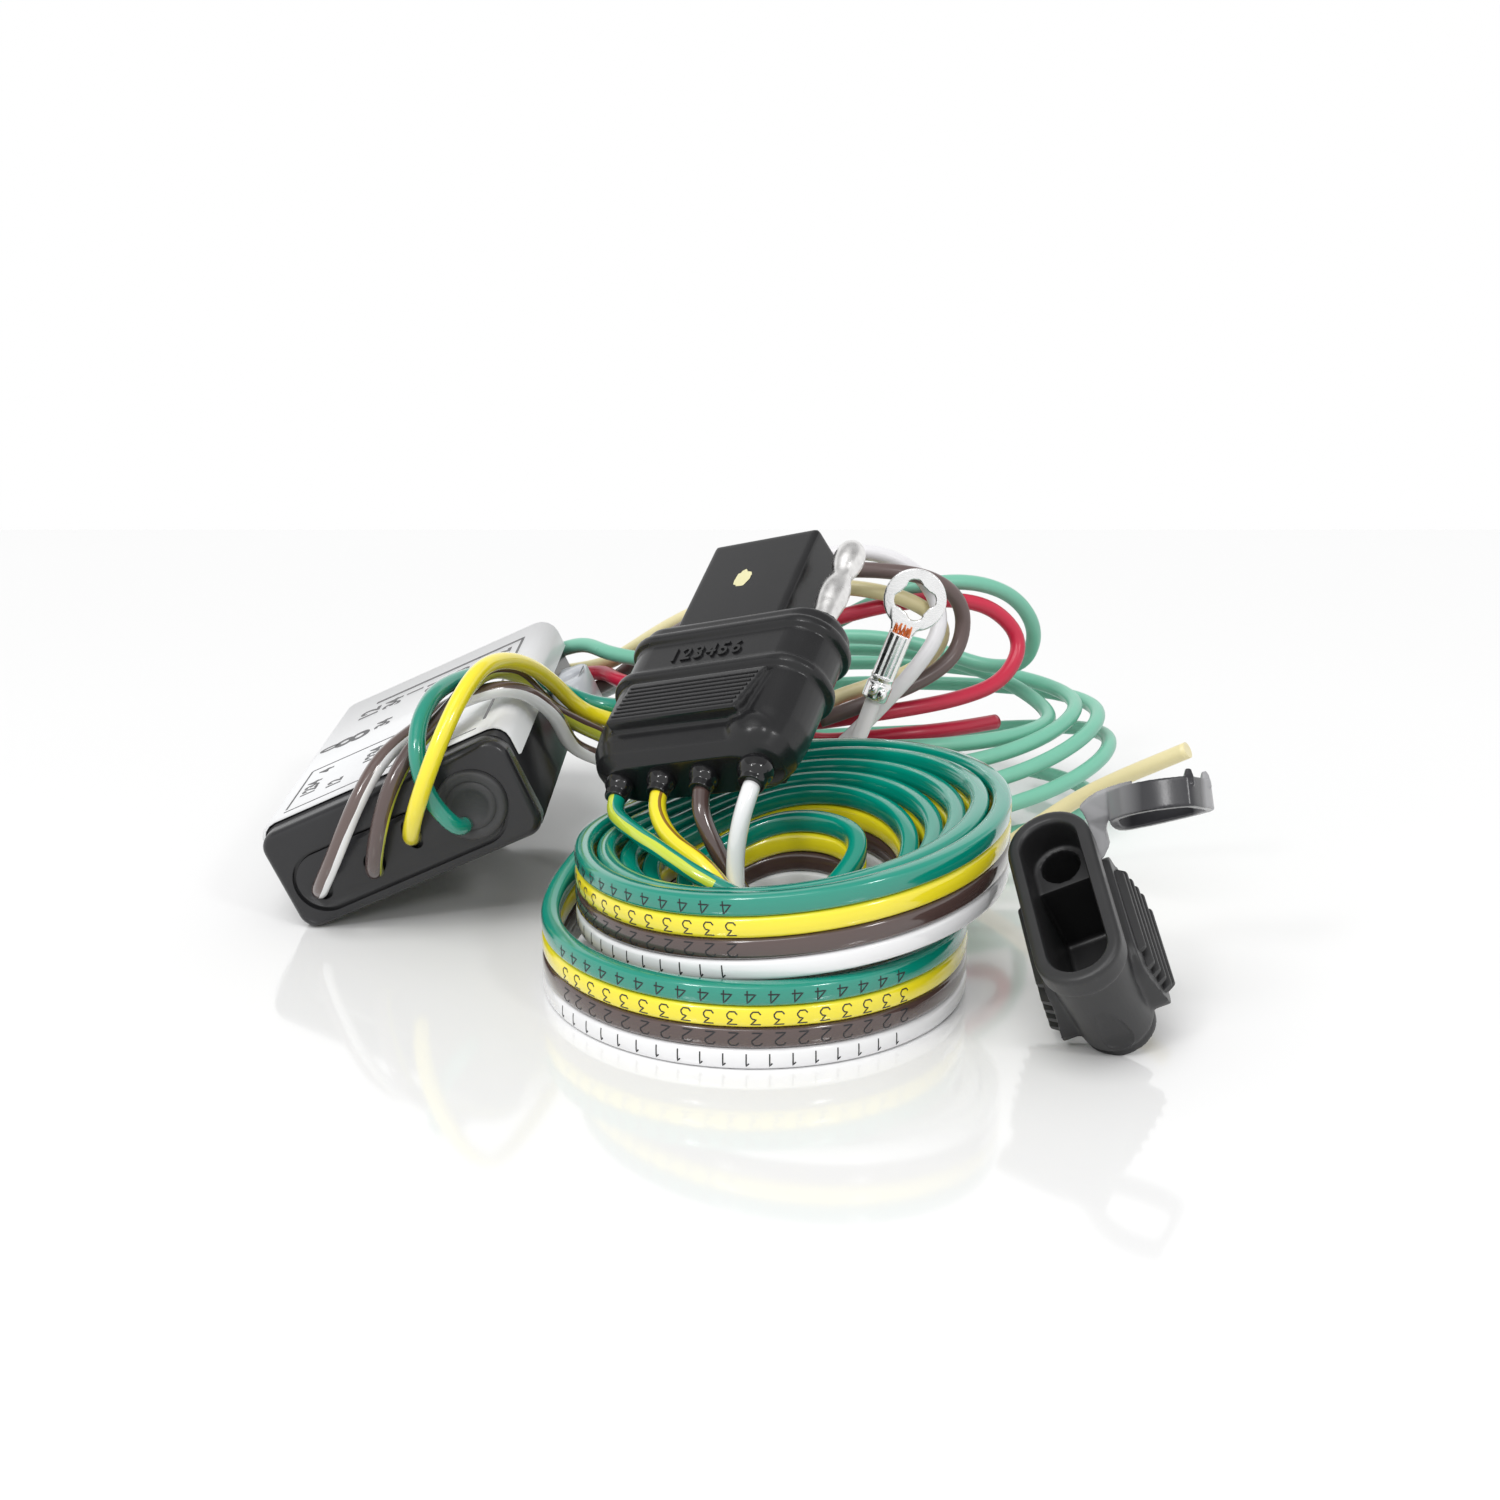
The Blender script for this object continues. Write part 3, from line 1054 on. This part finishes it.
# The sleeves are drawn brass tubes with a rounded mouth, pressed into the rubber.
brass = finished("sleeve_brass", (0.8, 0.58, 0.24), 1.0, tone=0.1, gloss=0.22, gloss_spread=0.15, relief=0.1)
SLEEVE = ((1.8, 29.4), (2.12, 29.4), (2.12, 44.15), (2.0, 44.3), (1.9, 44.3), (1.8, 44.15), (1.8, 29.4))
for n, x in enumerate(CONTACTS, 1):
    sleeve = turned("contact_sleeve_%d" % n, SLEEVE, Matrix.Translation((x * MM, 0, 0)))
    fit_piece(sleeve, PLUG_PLACE, brass, BODY, "sleeve_brass", "socket_sleeve_%d" % n, angle=40)

# The bare pin is rolled and plated sheet: a shank, two round swellings with a waist between them, and a
# small open dent at its nose.
nickel = finished("pin_plating", (0.8, 0.79, 0.78), 1.0, tone=0.6, gloss=0.3, gloss_spread=0.2,
                  cloud_scale=800.0, relief=0.4)
pin_profile = (
    (0.0, 24.2), (1.65, 24.2), (1.75, 29.4), (2.0, 30.4), (2.2, 31.6), (2.28, 32.8), (2.2, 34.0),
    (1.95, 35.1), (1.65, 35.9), (1.52, 36.6), (1.6, 37.2), (1.9, 38.0), (2.15, 38.9), (2.3, 40.0),
    (2.25, 41.2), (1.95, 42.3), (1.4, 43.1), (0.85, 43.4), (0.6, 43.2), (0.45, 42.6), (0.0, 42.4),
)
pin = turned("bare_pin", pin_profile, Matrix.Translation((PIN_X * MM, 0, 0)))
step(pin, "SUBSURF", levels=1, render_levels=1)
fit_piece(pin, PLUG_PLACE, nickel, BODY, "pin_nickel", "bullet_pin")

# ---------------------------------------------------------------- dust cap
# The plug's cap, lying loose with its socket to the front: soft rubber with a thick lip, six fins on a pad
# on each broad face and a shallow teardrop scoop on its narrow side.
CAP_PLACE = pose((38.2, 6.9, 20.47), (0.09, -0.90, -0.425), (0.905, -0.105, 0.414))
cap = stadium("cap_body", 27.0, 10.0, -18.5, -0.5, 4.9)
only(cap)
bpy.ops.object.mode_set(mode="EDIT")
for height in (-16.3, -12.0, -7.0):
    bpy.ops.mesh.select_all(action="SELECT")
    bpy.ops.mesh.bisect(plane_co=(0, 0, height * MM), plane_no=(0, 0, 1))
done()
for height, wide, deep in (
        (-18.5, 0.86, 0.8), (-16.3, 0.955, 0.96), (-12.0, 0.97, 0.97), (-7.0, 0.985, 0.985)):
    choose(cap, "VERT", lambda v: at(v.co.z, height))
    bpy.ops.transform.resize(value=(wide, deep, 1.0), center_override=(0, 0, height * MM))
    done()
lip = stadium("cap_lip", 28.0, 11.0, -3.4, 0.0, 5.4)
round_edges(lip, lambda e: level(e, "z", 0.0), 0.6, 5)
round_edges(lip, lambda e: level(e, "z", -3.4), 0.5, 3)
cavity = stadium("cap_cavity", 24.2, 7.4, -16.3, 1.0, 3.6)
flare = block("cap_flare", (24.4, 7.4, 1.2), (0.0, 0.0, 0.2))
round_edges(flare, lambda e: runs_along(e, "z"), 3.6, 10)
choose(flare, "VERT", lambda v: v.co.z > 0.5 * MM)
bpy.ops.transform.resize(value=(1.06, 1.16, 1.0), center_override=(0, 0, 0.8 * MM))
done()
for shell in (cap, lip):
    step(shell, "BOOLEAN", object=cavity, operation="DIFFERENCE", solver="EXACT")
carve(lip, flare)
bpy.data.objects.remove(cavity, do_unlink=True)
shells = [lip]
for side in (-1, 1):
    pad = block("cap_pad", (19.4, 2.2, 11.8), (0.0, side * 5.0, -11.4))
    round_edges(pad, lambda e: runs_along(e, "y"), 3.2, 6)
    choose(pad, "VERT", lambda v: v.co.y * side > 5.0 * MM and v.co.z < -12.0 * MM)
    bpy.ops.transform.translate(value=(0.0, side * 1.0 * MM, 0.0))
    done()
    shells.append(pad)
shells.append(stadium("cap_base", 24.6, 9.2, -18.6, -17.7, 4.4))
# A ledge with a hole for the plug's bare pin stands inside the socket.
ledge = block("cap_ledge", (7.2, 8.2, 11.6), (-9.0, 0.0, -11.0))
carve(ledge, rod("pin_hole", 2.55, 9.0, (-8.9, 0.0, -8.0), "z", 40))
shells.append(ledge)
fuse(cap, *shells)
mould(cap, 0.26, 2)
scoop = rod("scoop", 2.3, 9.4, (0.0, 0.0, 0.0), "z", 48, 0.4)
flat = Matrix.Diagonal((0.3, 1.0, 1.0, 1.0))
scoop.data.transform(Matrix.Translation(Vector((12.95, -0.3, -9.8)) * MM) @ flat)
carve(cap, scoop)
carve(cap, ball("scoop_end", 2.3, (12.95, -0.3, -14.5), (0.3, 1.0, 1.0)))
fins = []
for side in (-1, 1):
    for n in range(6):
        length = 18.8 if 0 < n < 5 else 15.4
        height = -11.8 + (n - 2.5) * 1.72
        lift = 5.75 + (-6.6 - height) * 0.13
        fin = block("cap_fin", (length, 2.6, 1.15), (0.0, side * lift, height))
        choose(fin, "VERT", lambda v: v.co.y * side > (lift + 1.0) * MM)
        crest = (0, side * (lift + 1.3) * MM, height * MM)
        bpy.ops.transform.resize(value=(0.8, 1.0, 0.5), center_override=crest)
        done()
        round_edges(fin, lambda e: level(e, "y", side * (lift + 1.3)), 0.22, 3)
        fins.append(fin)
fuse(cap, *fins)
cap_rubber = finished("cap_rubber", (0.02, 0.02, 0.021), tone=0.2, gloss=0.4, gloss_spread=0.12,
                      cloud_scale=240.0, grain_scale=5200.0, relief=0.25)
fit_piece(cap, CAP_PLACE, cap_rubber, "cap", "moulded_rubber", "dust_cap", angle=50)

# ---------------------------------------------------------------- cap strap
# The strap that would hold the cap to its plug is moulded with it: a short neck on the cap's side and a flat
# D-shaped loop, with two little horns where the mould's gate was cut off.
STRAP_UP = Vector((-0.070, 0.521, 0.851))
STRAP_LOOP = (
    (45.82, 17.20, 28.01), (46.54, 15.20, 29.36), (47.87, 13.80, 30.3), (49.51, 12.80, 31.03),
    (51.55, 12.00, 31.62), (53.42, 11.60, 31.95), (54.23, 11.90, 31.85), (55.87, 14.20, 30.88),
    (57.39, 16.40, 29.94), (57.56, 17.60, 29.27), (55.75, 18.40, 28.4), (52.76, 19.00, 27.39),
    (49.68, 19.30, 26.55), (47.22, 19.00, 26.31),
)
STRAP_NECK = (
    (41.84, 19.30, 27.04), (42.71, 19.10, 28.05), (43.61, 18.60, 28.96), (44.85, 17.90, 29.80),
    (46.09, 16.60, 30.77), (47.38, 14.90, 31.74), (48.05, 14.70, 30.22), (47.36, 15.60, 29.65),
    (46.42, 16.40, 28.71), (45.65, 17.00, 27.17), (45.23, 17.40, 25.69), (45.10, 17.40, 24.48),
    (45.50, 16.60, 22.89), (44.83, 16.00, 21.62), (43.97, 16.00, 21.08), (43.41, 17.20, 23.34),
    (42.84, 18.30, 25.64), (42.26, 19.00, 26.61),
)
STRAP_HORNS = (
    ((54.12, 12.68, 33.13), (54.12, 13.36, 34.4)), ((57.28, 17.18, 31.22), (57.18, 17.96, 32.5)),
)


def ribbon_solid(name, points, across, widths, thicks, closed=False):
    """Flat strap through points in layout millimetres."""
    mesh = bmesh.new()
    count = len(points)
    rows = []
    for k, point in enumerate(points):
        before = points[(k - 1) % count] if closed or k else points[k]
        after = points[(k + 1) % count] if closed or k < count - 1 else points[k]
        along = (after - before).normalized()
        wide = (across - along * across.dot(along)).normalized()
        thick = along.cross(wide)
        w = wide * widths[k] / 2
        t = thick * thicks[k] / 2
        corners = (point - w - t, point + w - t, point + w + t, point - w + t)
        rows.append([mesh.verts.new((corner - LAYOUT_ORIGIN) * MM) for corner in corners])
    skin(mesh, rows, closed)
    return solid_from(name, mesh)


loop = [Vector(p) for p in STRAP_LOOP]
fine = []
for k in range(len(loop)):
    p0, p1, p2, p3 = [loop[(k + i) % len(loop)] for i in (-1, 0, 1, 2)]
    for i in range(6):
        t = i / 6
        fine.append((p1 * 2 + (p2 - p0) * t + (p0 * 2 - p1 * 5 + p2 * 4 - p3) * t * t
                     + (p1 * 3 - p0 - p2 * 3 + p3) * t * t * t) / 2)
strap = ribbon_solid("strap", fine, STRAP_UP, [3.8] * len(fine), [1.2] * len(fine), closed=True)
neck_data = bpy.data.meshes.new("strap_neck")
corners = [(Vector(p) - LAYOUT_ORIGIN) * MM for p in STRAP_NECK]
neck_data.from_pydata(corners, [], [tuple(range(len(corners)))])
neck = placed("strap_neck", neck_data)
only(neck)
bpy.ops.object.mode_set(mode="EDIT")
bpy.ops.mesh.select_all(action="SELECT")
bpy.ops.mesh.extrude_region_move(TRANSFORM_OT_translate={"value": (0.0004, 0.0014, 0.0002)})
bpy.ops.mesh.select_all(action="SELECT")
bpy.ops.mesh.quads_convert_to_tris()
bpy.ops.mesh.normals_make_consistent(inside=False)
done()
pieces = [neck]
for foot, tip in STRAP_HORNS:
    middle = (Vector(foot) + Vector(tip)) / 2
    lower = Vector(foot) * 2 - middle
    pieces.append(ribbon_solid("strap_horn", [lower, Vector(foot), middle, Vector(tip)],
                               STRAP_UP.cross(Vector((1, 0, 0))), [1.8, 1.5, 1.2, 0.7], [1.3, 1.2, 1.0, 0.6]))
fuse(strap, *pieces)
mould(strap, 0.16, 4)
strap_rubber = finished("strap_rubber", (0.03, 0.03, 0.034), tone=0.2, gloss=0.24, gloss_spread=0.1,
                        relief=0.12)
# It is scuffed pale at its neck and at its far end.
tree = strap_rubber.node_tree
place = node(tree, "ShaderNodeTexCoord")
along = node(tree, "ShaderNodeSeparateXYZ")
tree.links.new(place.outputs["Object"], along.inputs[0])
ramp = node(tree, "ShaderNodeMapRange")
for label, value in (("From Min", 0.045), ("From Max", 0.065), ("To Min", 0.0), ("To Max", 1.0)):
    ramp.inputs[label].default_value = value
tree.links.new(along.outputs["X"], ramp.inputs["Value"])
shades = node(tree, "ShaderNodeValToRGB")
shades.color_ramp.elements[0].position = 0.27
shades.color_ramp.elements[0].color = (0.9, 0.9, 0.9, 1.0)
shades.color_ramp.elements[1].position = 0.46
shades.color_ramp.elements[1].color = (0.0, 0.0, 0.0, 1.0)
for position, value in ((0.83, 0.0), (0.88, 0.9)):
    stop = shades.color_ramp.elements.new(position)
    stop.color = (value, value, value, 1.0)
tree.links.new(ramp.outputs[0], shades.inputs[0])
overlay(strap_rubber, shades.outputs[0], (0.36, 0.36, 0.37))
fit_piece(strap, Matrix.Identity(4), strap_rubber, "strap", "strap_rubber", "cap_strap")

# ---------------------------------------------------------------- ring terminal
# Tinned brass, stamped and rolled: an eye with teeth round its hole, a barrel whose two edges meet in a seam
# down its front, and a crimped ring that grips the insulation.
TERMINAL_PLACE = pose((24.61, 71.50, 41.92), (0.922, -0.159, -0.354), (0.364, 0.036, 0.931))
eye = rod("terminal_eye", 4.7, 0.85, (0.0, 0.0, 0.0), "z", 96)
teeth = rod("teeth", 2.75, 3.0, (0.0, 0.0, 0.0), "z", 64)
for k, vertex in enumerate(teeth.data.vertices):
    angle = math.atan2(vertex.co.y, vertex.co.x)
    reach = 1.0 + 0.13 * math.copysign(abs(math.sin(angle * 4)) ** 0.4, math.sin(angle * 4))
    vertex.co.x *= reach
    vertex.co.y *= reach
carve(eye, teeth)
tongue = block("terminal_tongue", (6.0, 5.2, 0.85), (0.0, -4.2, 0.0))
choose(tongue, "VERT", lambda v: v.co.y < -5.0 * MM)
bpy.ops.transform.resize(value=(0.42, 1.0, 1.3), center_override=(0, -6.8 * MM, 0))
done()
keep_out = rod("keep_out", 3.3, 3.0, (0.0, 0.0, 0.0), "z", 48)
carve(tongue, keep_out)
shells = [tongue]
for side in (-1, 1):
    roll = rod("barrel_roll", 1.0, 8.2, (side * 0.78, -9.6, 0.25), "y", 32)
    shells.append(roll)
shells.append(rod("barrel_back", 1.45, 8.2, (0.0, -9.6, -0.15), "y", 40))
grip = rod("insulation_grip", 2.0, 2.9, (0.0, -14.9, 0.0), "y", 40)
round_edges(grip, lambda e: level(e, "y", -16.35) or level(e, "y", -13.45), 0.35, 3)
carve(grip, rod("grip_bore", 1.32, 2.2, (0.0, -15.9, 0.0), "y", 32))
shells.append(grip)
shells.append(rod("grip_shoulder", 1.4, 1.2, (0.0, -13.2, 0.0), "y", 40, 1.9))
for x, y in ((-0.55, -14.6), (0.9, -15.0)):
    shells.append(ball("grip_lobe", 1.0, (x, y, 1.5), (0.75, 1.0, 0.75)))
fuse(eye, *shells)
mould(eye, 0.13, 2)
tin = finished("terminal_tin", (0.86, 0.86, 0.86), 1.0, tone=0.16, gloss=0.2, gloss_spread=0.16,
               cloud_scale=700.0, relief=0.25)
fit_piece(eye, TERMINAL_PLACE, tin, BODY, "terminal_tin", "ring_terminal")

copper = finished("strand_copper", (0.85, 0.24, 0.07), 0.6, tone=0.3, gloss=0.35, gloss_spread=0.2,
                  relief=0.3)
strands = []
for k in range(9):
    x = (k - 4) * 0.3
    strand = rod("strand", 0.15, 1.7, (0.0, 0.0, 0.0), "y", 8)
    lean = Matrix.Rotation(0.25 * math.sin(k * 2.7), 4, "Z")
    lean = lean @ Matrix.Rotation(0.2 * math.cos(k * 1.9), 4, "X")
    middle = Vector((x, -5.0 + 0.25 * math.sin(k * 4.1), 0.75 + 0.18 * math.cos(k * 3.3)))
    strand.data.transform(Matrix.Translation(middle * MM) @ lean)
    strands.append(strand)
fuse(strands[0], *strands[1:])
strands[0].name = "copper_strands"
fit_piece(strands[0], TERMINAL_PLACE, copper, BODY, "strand_copper", "crimped_strands", angle=40)

# ---------------------------------------------------------------- floor and light
# A plain white acrylic sheet, whose back edge lies a hand behind the object, stands under a large soft tent
# with two small round lamps in front.
FLOOR_WHITE = 0.875
TENT_LEVEL = 0.6


def sheet(name, centre, size):
    """Flat rectangle that stands beside the object and is no part of it."""
    clear_selection()
    bpy.ops.mesh.primitive_plane_add(size=1.0, location=centre)
    item = bpy.context.object
    item.name = name
    item.scale = (*size, 1.0)
    bpy.ops.object.transform_apply(location=False, rotation=False, scale=True)
    return item


floor = sheet("floor", (0.0, -1.22, 0.0), (6.0, 3.0))
acrylic, tree, shader = new_material("floor_white", (FLOOR_WHITE, FLOOR_WHITE, FLOOR_WHITE), 0.08)
shader.inputs["IOR"].default_value = 1.7
floor.data.materials.append(acrylic)

# The tent lights at its own level, and is full white to the camera, in mirrors and through glass.
world = bpy.data.worlds.new("surround")
bpy.context.scene.world = world
world.use_nodes = True
tree = world.node_tree
background = tree.nodes["Background"]
background.inputs["Color"].default_value = (1.0, 1.0, 1.0, 1.0)
rays = node(tree, "ShaderNodeLightPath").outputs
seen = reckon(tree, "MAXIMUM", rays["Is Camera Ray"], rays["Is Glossy Ray"])
seen = reckon(tree, "MAXIMUM", seen, rays["Is Transmission Ray"])
level_seen = reckon(tree, "MULTIPLY_ADD", seen, 1.0 - TENT_LEVEL, TENT_LEVEL)
tree.links.new(level_seen, background.inputs["Strength"])


def lamp(name, kind, place, aim, energy, **settings):
    """Lamp that points from one place to another."""
    data = bpy.data.lights.new(name, kind)
    data.energy = energy
    for key, value in settings.items():
        setattr(data, key, value)
    item = placed(name, data)
    item.location = place
    item.rotation_euler = (Vector(aim) - Vector(place)).to_track_quat("-Z", "Y").to_euler()


lamp("tent_light", "SUN", (-0.3, -0.5, 1.2), (0.0, 0.0, 0.0), 1.5, angle=math.radians(40))
for name, x in (("left_lamp", -0.28), ("right_lamp", 0.32)):
    lamp(name, "AREA", (x, -0.42, 0.42), (0.0, 0.0, 0.02), 0.5, shape="DISK", size=0.09)

# A grey ceiling gives the bright metal and the black mouldings something to mirror.
ceiling = sheet("ceiling", (0.0, 0.1, 0.95), (2.6, 1.6))
grey, tree, shader = new_material("ceiling_grey", (0.0, 0.0, 0.0), 0.9)
shader.inputs["Emission Color"].default_value = (0.5, 0.5, 0.5, 1.0)
shader.inputs["Emission Strength"].default_value = 1.0
ceiling.data.materials.append(grey)
ceiling.visible_diffuse = False
ceiling.visible_shadow = False
ceiling.visible_camera = False
bpy.context.scene.view_settings.view_transform = "Standard"
